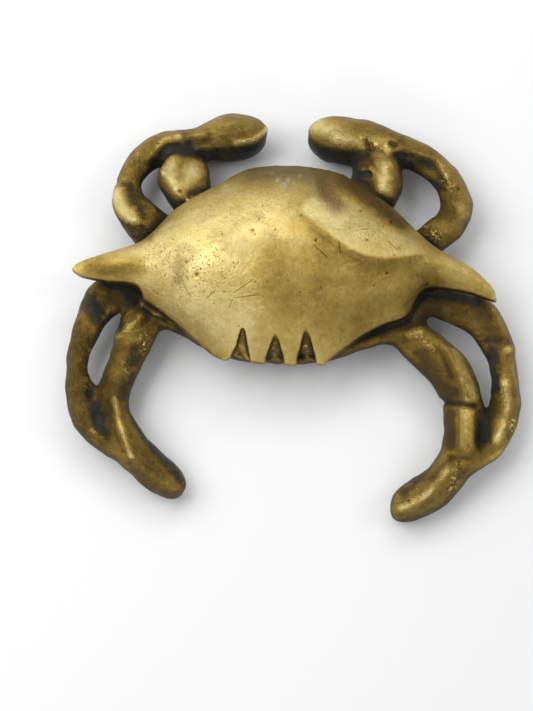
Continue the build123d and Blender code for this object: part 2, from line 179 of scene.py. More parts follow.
def lumps(size, seed):
    """Smooth random lumps of about that size in millimetres, from -1 to 1, on the whole grid."""
    counts = [int(SHAPE[i] * PITCH / size) + 4 for i in range(3)]
    field = np.random.default_rng(seed).uniform(-1, 1, counts).astype(np.float32)
    for axis in range(3):
        place = np.arange(SHAPE[axis]) * PITCH / size + 1
        cell = place.astype(int)
        t = place - cell
        weights = np.zeros((SHAPE[axis], counts[axis]), np.float32)
        rows = np.arange(SHAPE[axis])
        weights[rows, cell - 1] = (1 - t) ** 3 / 6
        weights[rows, cell] = (3 * t**3 - 6 * t**2 + 4) / 6
        weights[rows, cell + 1] = (-3 * t**3 + 3 * t**2 + 3 * t + 1) / 6
        weights[rows, cell + 2] = t**3 / 6
        field = np.moveaxis(np.tensordot(weights, field, axes=(1, axis)), 0, axis)
    return field * 2


def path_distance(u, v, path):
    """Distance in pixels from places in the photograph to a path of one or more points."""
    nearest = np.full(np.broadcast(u, v).shape, np.inf, np.float32)
    for (u0, v0), (u1, v1) in zip(path, path[1:] + path[-1:]):
        du, dv = u1 - u0, v1 - v0
        along = ((u - u0) * du + (v - v0) * dv) / max(du * du + dv * dv, TINY)
        along = np.clip(along, 0, 1)
        nearest = np.minimum(nearest, np.hypot(u - u0 - along * du, v - v0 - along * dv))
    return nearest


def window(path, reach):
    """The grid's index ranges in X and Y that a path with its reach can be seen in."""
    scale = CAMERA_DISTANCE / FOCAL_PIXELS
    ranges = []
    for axis, values in enumerate(([p[0] for p in path], [p[1] for p in path])):
        middle = (IMAGE_WIDTH, IMAGE_HEIGHT)[axis] / 2
        sign = (1, -1)[axis]
        ends = [(value - middle) * scale * sign + CAMERA_AIM[axis] for value in values]
        low = min(ends) - reach * scale - MARGIN
        high = max(ends) + reach * scale + MARGIN
        first = int(np.clip((low / PITCH) - FIRST[axis], 0, SHAPE[axis] - 1))
        last = int(np.clip((high / PITCH) - FIRST[axis] + 2, 1, SHAPE[axis]))
        ranges.append(slice(first, last))
    return ranges


def strokes(field, table, low=UNDER_TABLE):
    """Works a table of (path, reach in pixels, height in millimetres, sharpness) into a field.

    A height above zero raises the surface, one below cuts it. Sharpness 1 gives a crest or a crease
    with a keen line, 0 a soft swelling. Only places above the low level are worked.
    """
    for path, reach, height, sharpness in table:
        across, along = window(path, reach)
        u, v = block_places(across, along)
        share = np.clip(1 - path_distance(u, v, path) / reach, 0, 1)
        weight = sharpness * share + (1 - sharpness) * eased(share)
        field[across, along] -= (height * weight * (AXES[2] > low)).astype(np.float32)


# The shell's ridge on the right, where a band above it, brightened with painted sheen as well as
# rubbing, meets the flat part of the flank, and the band's upper line
RIDGE = [
    (300, 213), (318, 226), (335, 238), (350, 248),
    (365, 255), (385, 258), (408, 256), (432, 252),
]
BAND_TOP = [(300, 205), (320, 198), (345, 199), (362, 212), (380, 226), (402, 233), (432, 241)]
# The ridge's height in millimetres, then in pixels: how far below its line the flank falls off
# again, how slowly it fades at its ends, how keen the paint's edge on it is, and how far round it
# the grid is worked
RIDGE_HEIGHT = 0.6
RIDGE_FALL = 8
RIDGE_FADE = 18
RIDGE_EDGE = 4
RIDGE_REACH = 50


def line_at(line, u):
    """How far down a line of the photograph lies at columns of pixels."""
    return np.interp(u, [x for x, _ in line], [y for _, y in line])


def ridge_ends(u):
    """1 along the ridge, fading out at both ends."""
    start = np.clip((u - RIDGE[0][0]) / RIDGE_FADE, 0, 1)
    return start * np.clip((RIDGE[-1][0] - u) / RIDGE_FADE, 0, 1)


def raise_ridge(field):
    """Raises the band towards the ridge, below which the flank falls off again."""
    across, along = window(RIDGE, RIDGE_REACH)
    u, v = block_places(across, along)
    top, line = line_at(BAND_TOP, u), line_at(RIDGE, u)
    rise = np.clip((v - top) / (line - top), 0, 1)
    fall = np.clip(1 - (v - line) / RIDGE_FALL, 0, 1)
    field[across, along] -= (RIDGE_HEIGHT * rise * fall * ridge_ends(u)).astype(np.float32)


# Soft hollows and swellings of the shell, its spines' crests and the scallops of its notched edge
SHELL_STROKES = [
    ([(335, 262), (370, 276), (410, 274)], 16, -0.35, 0.0),
    ([(429, 258), (431, 284)], 7, 0.25, 0.8),
    ([(432, 256), (455, 264), (478, 276), (495, 290)], 9, 0.35, 0.9),
    ([(150, 266), (120, 262), (98, 268)], 9, 0.4, 0.5),
    ([(326, 186), (338, 196), (346, 204)], 13, -0.45, 0.2),
    ([(306, 206), (320, 197)], 7, 0.3, 0.8),
    ([(237, 357)], 11, -1.3, 0.4),
    ([(275, 358)], 11, -1.3, 0.4),
    ([(306, 358)], 11, -1.3, 0.4),
]

# Creases, crests and hollows of the claws, the knobs and the legs
LIMB_STROKES = [
    ([(116, 183), (132, 184)], 4, -0.4, 0.7),
    ([(442, 190), (458, 189)], 4, -0.35, 0.6),
    ([(148, 158), (164, 140), (178, 136)], 7, 0.45, 0.7),
    ([(112, 205), (130, 218), (150, 226)], 10, 0.35, 0.3),
    ([(236, 143), (256, 139), (266, 130)], 7, 0.4, 0.7),
    ([(190, 142), (207, 140)], 8, -0.5, 0.3),
    ([(366, 140), (371, 148)], 6, -0.5, 0.6),
    ([(391, 144), (395, 146)], 5, -0.5, 0.5),
    ([(388, 148), (405, 148), (425, 155), (437, 160), (446, 176)], 6, 0.5, 0.9),
    ([(446, 176), (452, 190)], 7, 0.4, 0.6),
    ([(455, 205), (460, 215), (450, 232)], 9, 0.4, 0.4),
    ([(163, 172), (175, 184), (178, 193), (186, 199)], 6, 0.3, 0.5),
    ([(186, 200), (199, 194)], 5, 0.4, 0.7),
    ([(482, 292), (491, 300), (499, 313), (505, 330), (509, 348)], 12, 1.0, 0.0),
    ([(146, 302), (158, 313)], 12, 0.4, 0.0),
    ([(358, 175), (370, 174)], 4, -0.5, 0.6),
    ([(372, 160), (377, 176)], 4, -0.25, 0.6),
    ([(371, 168), (378, 176)], 4, 0.35, 0.7),
    ([(390, 165), (388, 180), (378, 192)], 9, 0.4, 0.4),
    ([(116, 337), (128, 328), (140, 316)], 7, 0.5, 0.8),
    ([(96, 330), (93, 370), (95, 410)], 8, 0.35, 0.6),
    ([(114, 398), (118, 418), (125, 442), (131, 456)], 6, 0.5, 0.9),
    ([(131, 456), (150, 474), (170, 490)], 9, 0.3, 0.5),
    ([(92, 430), (101, 437)], 6, 0.4, 0.6),
    ([(485, 343), (506, 341)], 8, -0.25, 0.3),
    ([(505, 385), (507, 408)], 9, 0.4, 0.5),
    ([(505, 425), (496, 440)], 8, 0.45, 0.6),
    ([(512, 360), (518, 400), (512, 440), (492, 458)], 5, 0.3, 0.6),
    ([(442, 402), (460, 404), (474, 406)], 5, -0.6, 0.8),
    ([(452, 457), (470, 459)], 6, -0.3, 0.5),
    ([(410, 334), (420, 331)], 7, 0.5, 0.4),
    ([(428, 345), (432, 347)], 5, 0.4, 0.5),
    ([(447, 348), (460, 378), (466, 400)], 7, 0.6, 1.0),
    ([(461, 410), (461, 446)], 7, 0.6, 1.0),
    ([(474, 412), (474, 448)], 5, 0.25, 0.6),
    ([(402, 508), (422, 500), (436, 485), (448, 470)], 8, 0.5, 0.8),
    ([(455, 466), (452, 488)], 6, 0.3, 0.6),
]


# Floors of the notches, worked into the underbody's rim above this height in millimetres
NOTCH_STROKES = [
    ([(238, 338), (234, 351)], 8, 1.0, 0.2),
    ([(275, 341), (275, 351)], 8, 1.0, 0.2),
    ([(305, 341), (307, 351)], 8, 1.0, 0.2),
]
NOTCH_LOW = 9.5

# Single casting pits: place in the photograph, reach in pixels, depth in millimetres
SHELL_PITS = [
    (197, 275, 3.4, 0.6), (253, 230, 2.4, 0.5), (301, 215, 2.0, 0.4), (316, 240, 2.4, 0.5),
    (337, 215, 2.2, 0.4), (361, 211, 2.2, 0.4), (391, 222, 2.6, 0.5), (367, 240, 2.2, 0.4),
    (399, 248, 2.2, 0.4), (427, 285, 2.4, 0.5), (387, 273, 2.0, 0.4), (186, 262, 2.6, 0.5),
    (178, 256, 2.2, 0.4), (170, 268, 2.0, 0.4), (205, 258, 2.0, 0.4), (224, 292, 1.8, 0.4),
]
LIMB_PITS = [(209, 134, 2.4, 0.5), (217, 150, 2.0, 0.4), (180, 191, 2.8, 0.6), (409, 501, 2.6, 0.5)]


def pit_strokes(pits):
    """Pits as rows of a table of strokes."""
    return [([(x, y)], reach, -depth, 0.3) for x, y, reach, depth in pits]


# Random lumps of the casting: height and size in millimetres, and seed
SHELL_LUMPS = [(0.12, 9.0, 11), (0.07, 2.6, 12)]
LIMB_LUMPS = [(0.38, 5.0, 21), (0.24, 2.2, 22), (0.07, 1.1, 23)]
# Fine lumps all over, and the size and seed of the large ones that say where they are
ROUGH_LUMPS = (0.06, 1.1, 14)
ROUGH_PLACES = (9.0, 13)


def sculpt_casting():
    """Distances of the whole casting, and those of each node that it is split by."""
    nodes = {name: node_distances(name) for name in frame["nodes"]}
    shell = nodes[SHELL].copy()
    strokes(shell, SHELL_STROKES)
    raise_ridge(shell)
    shell += sum(height * lumps(size, seed) for height, size, seed in SHELL_LUMPS)
    strokes(shell, pit_strokes(SHELL_PITS))
    below = None
    for name, field in nodes.items():
        if name == SHELL:
            continue
        below = field if below is None else smooth_union(below, field, LIMB_FILLET)
    below = blur(below, EDGE_ROUNDING / PITCH)
    strokes(below, LIMB_STROKES)
    strokes(below, NOTCH_STROKES, low=NOTCH_LOW)
    below += sum(height * lumps(size, seed) for height, size, seed in LIMB_LUMPS)
    strokes(below, pit_strokes(LIMB_PITS))
    whole = smooth_union(below, shell, SHELL_FILLET)
    rough = np.clip(0.5 + lumps(*ROUGH_PLACES), 0, 1)
    height, size, seed = ROUGH_LUMPS
    whole += height * rough * lumps(size, seed)
    # Nothing reaches below the table
    whole = np.maximum(whole, -AXES[2])
    return whole, nodes


# A distance beyond any in the grid, and spare grid points round a piece
FAR = 1e3
SPARE_POINTS = 2
# How far to either side a slope is measured, in grid steps
SLOPE_STEP = 0.75


def two_nearest(nodes):
    """The two smallest distances to any node, and which node is nearest."""
    first = np.full(SHAPE, FAR, np.float32)
    second = first.copy()
    owner = np.zeros(SHAPE, np.int8)
    for number, field in enumerate(nodes.values()):
        nearer = field < first
        second = np.where(nearer, first, np.minimum(second, field))
        first = np.where(nearer, field, first)
        owner[nearer] = number
    return first, second, owner


def sample(field, points):
    """A field's values at points in millimetres, between its grid points."""
    place = points / PITCH - FIRST
    cell = np.clip(place.astype(int), 0, np.array(SHAPE) - 2)
    t = (place - cell).astype(np.float32)
    value = np.zeros(len(points), np.float32)
    for corner in range(8):
        step = np.array([(corner >> i) & 1 for i in range(3)])
        weight = np.prod(np.where(step, t, 1 - t), axis=1)
        i, j, k = (cell + step).T
        value += weight * field[i, j, k]
    return value


def slopes(field, points):
    """Unit directions in which a field grows at points."""
    step = PITCH * SLOPE_STEP
    parts = []
    for axis in range(3):
        offset = np.zeros(3)
        offset[axis] = step
        parts.append(sample(field, points + offset) - sample(field, points - offset))
    grown = np.stack(parts, 1)
    return grown / np.maximum(np.linalg.norm(grown, axis=1, keepdims=True), TINY)


def write_mesh(name, field):
    """A closed mesh object of a field's surface, and its points in millimetres."""
    inside = np.argwhere(field < PITCH * SPARE_POINTS)
    low = np.maximum(inside.min(0) - SPARE_POINTS, 0)
    high = np.minimum(inside.max(0) + SPARE_POINTS + 1, SHAPE)
    crop = np.ascontiguousarray(field[low[0]:high[0], low[1]:high[1], low[2]:high[2]])
    grid = openvdb.FloatGrid(REACH)
    grid.transform = openvdb.createLinearTransform(PITCH)
    grid.copyFromArray(crop, ijk=tuple(int(i) for i in low + FIRST))
    points, triangles, quads = grid.convertToPolygons(isovalue=0, adaptivity=0)
    faces = [tuple(f[::-1]) for f in triangles.tolist()] + [tuple(f[::-1]) for f in quads.tolist()]
    mesh = bpy.data.meshes.new(name)
    mesh.from_pydata((points * METRES).tolist(), [], faces)
    mesh.validate()
    piece = bpy.data.objects.new(name, mesh)
    bpy.context.scene.collection.objects.link(piece)
    return piece, points


def add_values(mesh, name, values):
    """One number for each point of a mesh, which materials read by name."""
    layer = mesh.attributes.new(name, "FLOAT", "POINT")
    layer.data.foreach_set("value", np.ascontiguousarray(values, np.float32))


# Paint: (path, reach in pixels, strength) for each kind of mark, from rubbed bright metal on. The
# rubbed metal carries painted highlights too, where crests, palms and flanks catch the light
POLISH_AND_HIGHLIGHTS = [
    ([(160, 245), (200, 258), (232, 240), (255, 222), (205, 225)], 62, 0.75),
    ([(312, 208), (338, 216)], 15, 1.5),
    ([(190, 300), (240, 325)], 46, 0.95),
    ([(215, 125), (250, 128)], 16, 0.5),
    ([(440, 262), (470, 280)], 16, 0.2),
    ([(316, 126), (345, 139)], 20, 2.4),
    ([(345, 139), (384, 147)], 17, 2.0),
    ([(362, 145), (385, 145)], 9, 0.7),
    ([(116, 194), (122, 208), (134, 221)], 12, 2.6),
    ([(236, 144), (254, 140), (267, 131)], 6, 2.2),
    ([(160, 146), (168, 140), (178, 137)], 7, 1.5),
    ([(382, 168), (384, 188)], 14, 2.6),
    ([(168, 168), (180, 186), (192, 172)], 18, 2.6),
    ([(458, 203), (466, 215)], 8, 0.9),
    ([(448, 170), (462, 205)], 10, 0.4),
    ([(454, 350), (466, 376), (473, 397)], 9, 1.6),
    ([(467, 412), (468, 446)], 9, 1.8),
    ([(402, 508), (422, 498), (437, 483), (448, 468)], 6, 1.3),
    ([(505, 382), (507, 408), (497, 440)], 8, 1.5),
    ([(500, 455), (480, 466)], 9, 0.6),
    ([(117, 337), (128, 328)], 6, 0.8),
    ([(410, 333), (420, 331)], 7, 0.9),
    ([(440, 343), (450, 348)], 7, 0.7),
    ([(115, 400), (120, 425), (128, 448)], 5, 1.2),
]
# The notches' floors, on the underbody: rubbed metal and painted highlight that lighten them
NOTCH_POLISH_AND_HIGHLIGHTS = [
    ([(236, 345), (240, 352)], 11, 3.2),
    ([(270, 350), (277, 352)], 11, 3.0),
    ([(303, 349), (309, 352)], 11, 2.8),
]
# Black-green oxide in clefts, with painted shade under the right spine's overhang, between the
# limbs and the shell and along the limbs' flanks that turn from the light
PATINA_AND_SHADE = [
    ([(133, 233), (150, 237)], 8, 1.0),
    ([(168, 150), (188, 152), (208, 156)], 9, 1.0),
    ([(218, 152), (255, 151)], 8, 0.6),
    ([(132, 190), (142, 215)], 10, 0.6),
    ([(112, 222), (140, 227)], 7, 0.8),
    ([(312, 152), (345, 160)], 9, 0.8),
    ([(395, 158), (430, 165)], 9, 0.6),
    ([(435, 185), (428, 215)], 10, 0.8),
    ([(352, 158), (366, 155)], 8, 0.9),
    ([(357, 174), (369, 174)], 5, 1.0),
    ([(90, 300), (106, 320)], 17, 0.9),
    ([(118, 318), (122, 332)], 7, 0.8),
    ([(96, 405), (100, 430)], 9, 0.9),
    ([(436, 292), (460, 298), (476, 303)], 7, 0.7),
    ([(136, 350), (124, 395)], 10, 0.5),
    ([(130, 410), (150, 440), (172, 468), (192, 490)], 8, 0.8),
    ([(96, 300), (104, 330)], 9, 0.5),
    ([(484, 422), (487, 440)], 8, 1.0),
    ([(488, 340), (508, 342)], 7, 0.5),
    ([(494, 348), (494, 388)], 8, 1.0),
    ([(404, 490), (424, 470), (432, 452)], 9, 0.5),
    ([(172, 336), (198, 347), (218, 360)], 6, 0.9),
    ([(143, 300), (160, 315)], 9, 0.8),
]
RED = [
    ([(322, 182), (326, 194), (336, 206)], 15, 0.8),
    ([(342, 182), (368, 196)], 15, 0.8),
    ([(116, 300), (122, 308)], 11, 0.7),
    ([(180, 262), (178, 280)], 11, 0.6),
    ([(270, 165), (310, 168)], 14, 0.25),
]
GREY = [
    ([(255, 172), (290, 168), (315, 176)], 34, 0.7),
    ([(280, 178)], 6, 1.0),
    ([(287, 188)], 7, 1.0),
    ([(274, 184)], 5, 0.9),
    ([(285, 171)], 5, 0.8),
]
# Pale crusts on top of the shell
PALE = [
    ([(284, 186)], 6, 1.0),
    ([(278, 180)], 4, 0.9),
    ([(288, 180)], 4, 0.8),
    ([(294, 183)], 3, 0.7),
    ([(272, 173)], 3, 0.6),
    ([(300, 176)], 3, 0.6),
]
# How much of the limbs' oxide and painted shade reaches the shell above them
SHELL_PATINA_AND_SHADE = 0.35
# Where the colour is duller and browner: tarnished metal, and painted shade on the flat part of the
# shell's right flank and on the limbs' flanks that turn from the light
DULL_AND_SHADE = [
    ([(318, 262), (355, 276), (400, 280), (418, 272), (380, 302), (330, 318), (312, 290)], 40, 1.0),
    ([(256, 165), (300, 160), (345, 172)], 38, 2.4),
    ([(272, 262), (296, 300)], 38, 1.0),
    ([(354, 184), (380, 205), (402, 226)], 17, 2.6),
    ([(90, 268), (135, 268)], 17, 1.6),
    ([(425, 368), (447, 397)], 15, 1.3),
    ([(450, 413), (450, 446)], 8, 1.2),
    ([(420, 352), (436, 372)], 12, 1.0),
    ([(70, 340), (72, 420), (95, 455)], 30, 0.8),
    ([(105, 350), (110, 420)], 16, 0.5),
    ([(150, 470), (185, 505)], 26, 0.4),
    ([(440, 305), (475, 312), (500, 340)], 22, 0.7),
    ([(490, 350), (493, 400)], 9, 0.6),
]
# How slowly the band fades at its upper line and how far down the flat part reaches, in pixels,
# and how bright the painted sheen on the one and how dark the painted shade on the other is
BAND_FADE = 10
FACET_REACH = 75
BAND_SHEEN = 0.45
FACET_SHADE = 1.5
# Where fine pits lie close together
PITTED = [
    ([(160, 250), (175, 268), (195, 282), (205, 262)], 40, 1.0),
    ([(330, 200), (390, 235)], 26, 0.4),
]
# Painted glints, as bright specks of rough metal inside the notches and on the limbs and shell
GLINTS = [
    ([(236, 346)], 9, 1.0),
    ([(275, 348)], 8, 1.0),
    ([(306, 348)], 8, 1.0),
    ([(140, 335), (145, 350)], 9, 1.0),
    ([(126, 362), (130, 373)], 8, 0.8),
    ([(512, 420), (512, 432)], 6, 1.0),
    ([(459, 464), (452, 488)], 7, 1.0),
    ([(186, 200), (199, 194)], 5, 1.0),
    ([(422, 228), (438, 238)], 10, 0.9),
    ([(364, 140), (384, 150)], 9, 0.9),
    ([(444, 180), (454, 190)], 8, 0.8),
    ([(412, 334), (430, 346)], 10, 0.6),
    ([(90, 348), (87, 390)], 7, 0.8),
]


def band_and_facet(u, v):
    """Share of the band above the ridge and of the flat part under it at places.

    The band gets a painted sheen, the flat part painted shade.
    """
    over = np.clip((line_at(RIDGE, u) - v) / RIDGE_EDGE + 0.5, 0, 1)
    band = over * np.clip((v - line_at(BAND_TOP, u)) / BAND_FADE + 0.5, 0, 1) * ridge_ends(u)
    facet = (1 - over) * np.clip(1 - (v - line_at(RIDGE, u)) / FACET_REACH, 0, 1) * ridge_ends(u)
    return band, facet


def paint(u, v, table):
    """Strength of a table's marks at places in the photograph."""
    strength = np.zeros(len(u), np.float32)
    for path, reach, share in table:
        near = np.clip(1 - path_distance(u, v, path) / reach, 0, 1)
        strength = np.maximum(strength, share * eased(near))
    return strength


def paint_piece(mesh, name, points, normals):
    """Writes every kind of mark on a piece's points, painted highlights and shade among them."""
    u, v = photo_places(*points.T)
    band, facet = band_and_facet(u, v) if name == SHELL else (0, 0)
    polish_and_highlight = paint(u, v, POLISH_AND_HIGHLIGHTS) * (1 - facet) + BAND_SHEEN * band
    if name == TRAY:
        polish_and_highlight = np.maximum(polish_and_highlight, paint(u, v, NOTCH_POLISH_AND_HIGHLIGHTS))
    dull_and_shade = np.maximum(paint(u, v, DULL_AND_SHADE) * (1 - band), FACET_SHADE * facet)
    # Rubbed metal and painted highlights, fading out on surfaces that turn away from above
    add_values(mesh, "polish_and_highlight", polish_and_highlight * np.clip(normals[:, 2] * UPWARD_GAIN, 0, 1))
    add_values(mesh, "patina_and_shade", paint(u, v, PATINA_AND_SHADE) * (SHELL_PATINA_AND_SHADE if name == SHELL else 1))
    add_values(mesh, "dull_and_shade", dull_and_shade)
    for mark, table in (("red", RED), ("pitted", PITTED), ("glint", GLINTS)):
        add_values(mesh, mark, paint(u, v, table))
    for mark, table in (("grey", GREY), ("pale", PALE)):
        add_values(mesh, mark, paint(u, v, table) * (name == SHELL))


# Blurs that tell hollows from crests and sheltered sides from open ones, in millimetres, the one
# for the normals, in grid steps, and how far off the surface the painted shade of sheltered sides
# is felt, in millimetres
HOLLOW_BLUR = 0.9
SHELTER_BLUR = 3.2
NORMAL_BLUR = 0.6
SHELTER_OFFSET = 2.0
# Depth under the casting's surface, in grid steps, down to which a point belongs to its skin
SKIN_DEPTH = 0.6
# Pieces take turns at this many skins, so that no two neighbours share one
SKINS = 4
# What the blurred solid gives on a flat surface
FLAT = 0.5
# How soon rubbed metal and painted highlights reach their full strength on surfaces that face up
UPWARD_GAIN = 2


def build_pieces():
    """One closed mesh for each CAD node, cut from the sculpted casting."""
    whole, nodes = sculpt_casting()
    first, second, owner = two_nearest(nodes)
    solid = np.clip(0.5 - whole / PITCH, 0, 1)
    near_solid = blur(solid, HOLLOW_BLUR / PITCH)
    wide_solid = blur(solid, SHELTER_BLUR / PITCH)
    smooth = blur(whole, NORMAL_BLUR)
    pieces = {}
    for number, (name, field) in enumerate(nodes.items()):
        others = np.where(owner == number, second, first)
        share = (field - others) / 2 - PIECE_OVERLAP
        skin = whole + SKIN_STEP * (number % SKINS)
        piece, points = write_mesh(f"cast_{name}", np.maximum(skin, share))
        mesh = piece.data
        normals = slopes(smooth, points)
        outside = sample(whole, points) > -PITCH * SKIN_DEPTH
        mesh.shade_smooth()
        own = np.empty(len(points) * 3, np.float32)
        mesh.vertices.foreach_get("normal", own)
        own = own.reshape(-1, 3)
        if (own * normals).sum() < 0:
            mesh.flip_normals()
            mesh.vertices.foreach_get("normal", own.ravel())
        blended = np.where(outside[:, None], normals, own)
        mesh.normals_split_custom_set_from_vertices(blended.tolist())
        # How hollow the surface is: painted shade and oxide darken hollows, and rubbed wear and a
        # painted highlight brighten crests
        add_values(mesh, "cavity", sample(near_solid, points) - FLAT)
        # Painted shade where the casting closes round a point, measured a little off its surface
        add_values(mesh, "shelter_shade", sample(wide_solid, points + normals * SHELTER_OFFSET))
        # Which way the surface faces: surfaces that face down get painted shade
        add_values(mesh, "upward", normals[:, 2])
        paint_piece(mesh, name, points, normals)
        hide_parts(name)
        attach(piece, "root")
        pieces[name] = piece
    return pieces


# Share of a pit's radius that has its full depth
PIT_FLOOR = 0.3


class Nodes:
    """Shorthand for building one material's nodes."""

    def __init__(self, name):
        self.material = bpy.data.materials.new(name)
        self.material.use_nodes = True
        self.tree = self.material.node_tree
        self.shader = self.tree.nodes["Principled BSDF"]

    def put(self, socket, value):
        """Links a socket or sets its value."""
        if isinstance(value, bpy.types.NodeSocket):
            self.tree.links.new(value, socket)
        else:
            socket.default_value = value

    def attribute(self, name):
        """The values that add_values wrote under a name."""
        node = self.tree.nodes.new("ShaderNodeAttribute")
        node.attribute_name = name
        return node.outputs["Fac"]

    def places(self, scale, turn=(0, 0, 0)):
        """Object coordinates in millimetres, stretched and turned."""
        source = self.tree.nodes.new("ShaderNodeTexCoord")
        mapping = self.tree.nodes.new("ShaderNodeMapping")
        self.tree.links.new(source.outputs["Object"], mapping.inputs["Vector"])
        mapping.inputs["Rotation"].default_value = turn
        mapping.inputs["Scale"].default_value = [s / METRES for s in scale]
        return mapping.outputs["Vector"]

    def noise(self, places, scale, detail, rough):
        """Noise from 0 to 1 of a scale, detail and roughness."""
        node = self.tree.nodes.new("ShaderNodeTexNoise")
        self.put(node.inputs["Vector"], places)
        node.inputs["Scale"].default_value = scale
        node.inputs["Detail"].default_value = detail
        node.inputs["Roughness"].default_value = rough
        return node.outputs["Fac"]

    def spots(self, places, scale, radius, share):
        """Round pits: 1 in their middle, of which only a share of the cells has one."""
        node = self.tree.nodes.new("ShaderNodeTexVoronoi")
        self.put(node.inputs["Vector"], places)
        node.inputs["Scale"].default_value = scale
        split = self.tree.nodes.new("ShaderNodeSeparateColor")
        self.put(split.inputs["Color"], node.outputs["Color"])
        near = self.span(node.outputs["Distance"], radius, radius * PIT_FLOOR)
        chosen = self.math("GREATER_THAN", split.outputs["Red"], self.math("SUBTRACT", 1.0, share))
        return self.math("MULTIPLY", near, chosen)

    def math(self, operation, a, b=0.0, c=0.0):
        """One sum of up to three values."""
        node = self.tree.nodes.new("ShaderNodeMath")
        node.operation = operation
        for socket, value in zip(node.inputs, (a, b, c)):
            self.put(socket, value)
        return node.outputs[0]

    def span(self, value, low, high, to_low=0.0, to_high=1.0):
        """A value's place between two others, kept between the ends given."""
        node = self.tree.nodes.new("ShaderNodeMapRange")
        node.interpolation_type = "SMOOTHSTEP"
        ends = {"From Min": low, "From Max": high, "To Min": to_low, "To Max": to_high}
        for name, number in ends.items():
            node.inputs[name].default_value = number
        self.put(node.inputs["Value"], value)
        return node.outputs["Result"]

    def shift(self, total, value, factor):
        """A total shifted by a value times a factor."""
        return self.math("MULTIPLY_ADD", value, factor, total)

    def swing(self, total, noise, factor):
        """A total shifted both ways by a noise times a factor."""
        return self.shift(total, self.math("SUBTRACT", noise, 0.5), factor)

    def mix(self, share, a, b):
        """A colour between two others."""
        node = self.tree.nodes.new("ShaderNodeMix")
        node.data_type = "RGBA"
        self.put(node.inputs["Factor"], share)
        self.put(node.inputs["A"], a if isinstance(a, bpy.types.NodeSocket) else (*a, 1))
        self.put(node.inputs["B"], b if isinstance(b, bpy.types.NodeSocket) else (*b, 1))
        return node.outputs["Result"]

    def ramp(self, value, stops):
        """The colour that a table of (place, colour) gives a value."""
        node = self.tree.nodes.new("ShaderNodeValToRGB")
        ramp = node.color_ramp
        while len(ramp.elements) < len(stops):
            ramp.elements.new(0.5)
        for element, (place, colour) in zip(ramp.elements, stops):
            element.position = place
            element.color = (*colour, 1)
        self.put(node.inputs["Fac"], value)
        return node.outputs["Color"]

    def bump(self, height, distance, strength, under=None):
        """Normals of a relief with a height in millimetres, on top of others."""
        node = self.tree.nodes.new("ShaderNodeBump")
        self.put(node.inputs["Strength"], strength)
        node.inputs["Distance"].default_value = distance * METRES
        self.put(node.inputs["Height"], height)
        if under is not None:
            self.put(node.inputs["Normal"], under)
        return node.outputs["Normal"]


# Scratches on the shell: both ends in the photograph
SCRATCHES = [
    ((232, 296), (255, 282)), ((229, 308), (233, 300)), ((233, 300), (262, 296)),
    ((183, 284), (192, 298)), ((312, 249), (328, 262)), ((338, 245), (340, 258)),
    ((360, 232), (372, 228)), ((386, 240), (398, 252)), ((205, 300), (216, 292)),
]
# Level of the shell that they lie on and half their width, in millimetres, and how they fade from
# nothing to full across and along, as shares of that width and of their length
SCRATCH_HEIGHT = 22.0
SCRATCH_WIDTH = 0.14
SCRATCH_SIDES = (1.0, 0.4)
SCRATCH_ENDS = (0.5, 0.35)

# Brass colours from bright rubbed metal and painted highlight down to the black of oxide and
# painted shade in a recess
BRASS = [
    (0.00, (0.90, 0.74, 0.32)),
    (0.25, (0.62, 0.44, 0.120)),
    (0.48, (0.35, 0.230, 0.052)),
    (0.70, (0.125, 0.078, 0.021)),
    (1.00, (0.020, 0.018, 0.013)),
]


def plan_place(u, v, height):
    """Place in the plan, in millimetres, that a pixel of the photograph shows at a height."""
    across, rise = u - IMAGE_WIDTH / 2, IMAGE_HEIGHT / 2 - v
    ray = Vector((across, 0, 0)) + UP * rise - BACK * FOCAL_PIXELS
    place = EYE + ray * ((height - EYE.z) / ray.z)
    return place.x, place.y


def scratch_lines(nodes):
    """Fine straight scratches: 1 along each line."""
    places = nodes.places((1, 1, 1))
    lines = 0.0
    for start, end in SCRATCHES:
        x0, y0 = plan_place(*start, SCRATCH_HEIGHT)
        x1, y1 = plan_place(*end, SCRATCH_HEIGHT)
        mapping = nodes.tree.nodes.new("ShaderNodeMapping")
        mapping.vector_type = "TEXTURE"
        nodes.put(mapping.inputs["Vector"], places)
        mapping.inputs["Location"].default_value = (x0, y0, 0)
        mapping.inputs["Rotation"].default_value = (0, 0, math.atan2(y1 - y0, x1 - x0))
        mapping.inputs["Scale"].default_value = (math.hypot(x1 - x0, y1 - y0), SCRATCH_WIDTH, 1)
        split = nodes.tree.nodes.new("ShaderNodeSeparateXYZ")
        nodes.put(split.inputs[0], mapping.outputs[0])
        across = nodes.span(nodes.math("ABSOLUTE", split.outputs["Y"]), *SCRATCH_SIDES)
        middle = nodes.math("SUBTRACT", split.outputs["X"], 0.5)
        along = nodes.span(nodes.math("ABSOLUTE", middle), *SCRATCH_ENDS)
        lines = nodes.math("MAXIMUM", nodes.math("MULTIPLY", across, along), lines)
    return lines


# Each brass: its mean tone, how much painted shade darkens it in sheltered places and on surfaces
# that face down and how much rubbed wear and painted highlight brighten crests, the share of cells
# with a pit, the height of its relief in millimetres and its least roughness
FINISHES = {
    "shell_brass": {
        "mean": 0.28, "shelter_shade": 0.5, "flank_shade": 0.36, "crests": 0.08,
        "pits": 0.07, "relief": 0.55, "gloss": 0.34,
    },
    "dark_brass": {
        "mean": 0.60, "shelter_shade": 0.6, "flank_shade": 0.30, "crests": 0.20,
        "pits": 0.08, "relief": 1.4, "gloss": 0.24,
    },
    "limb_brass": {
        "mean": 0.60, "shelter_shade": 0.5, "flank_shade": 0.38, "crests": 0.46,
        "pits": 0.05, "relief": 1.4, "gloss": 0.17,
    },
}
SCRATCHED = "shell_brass"

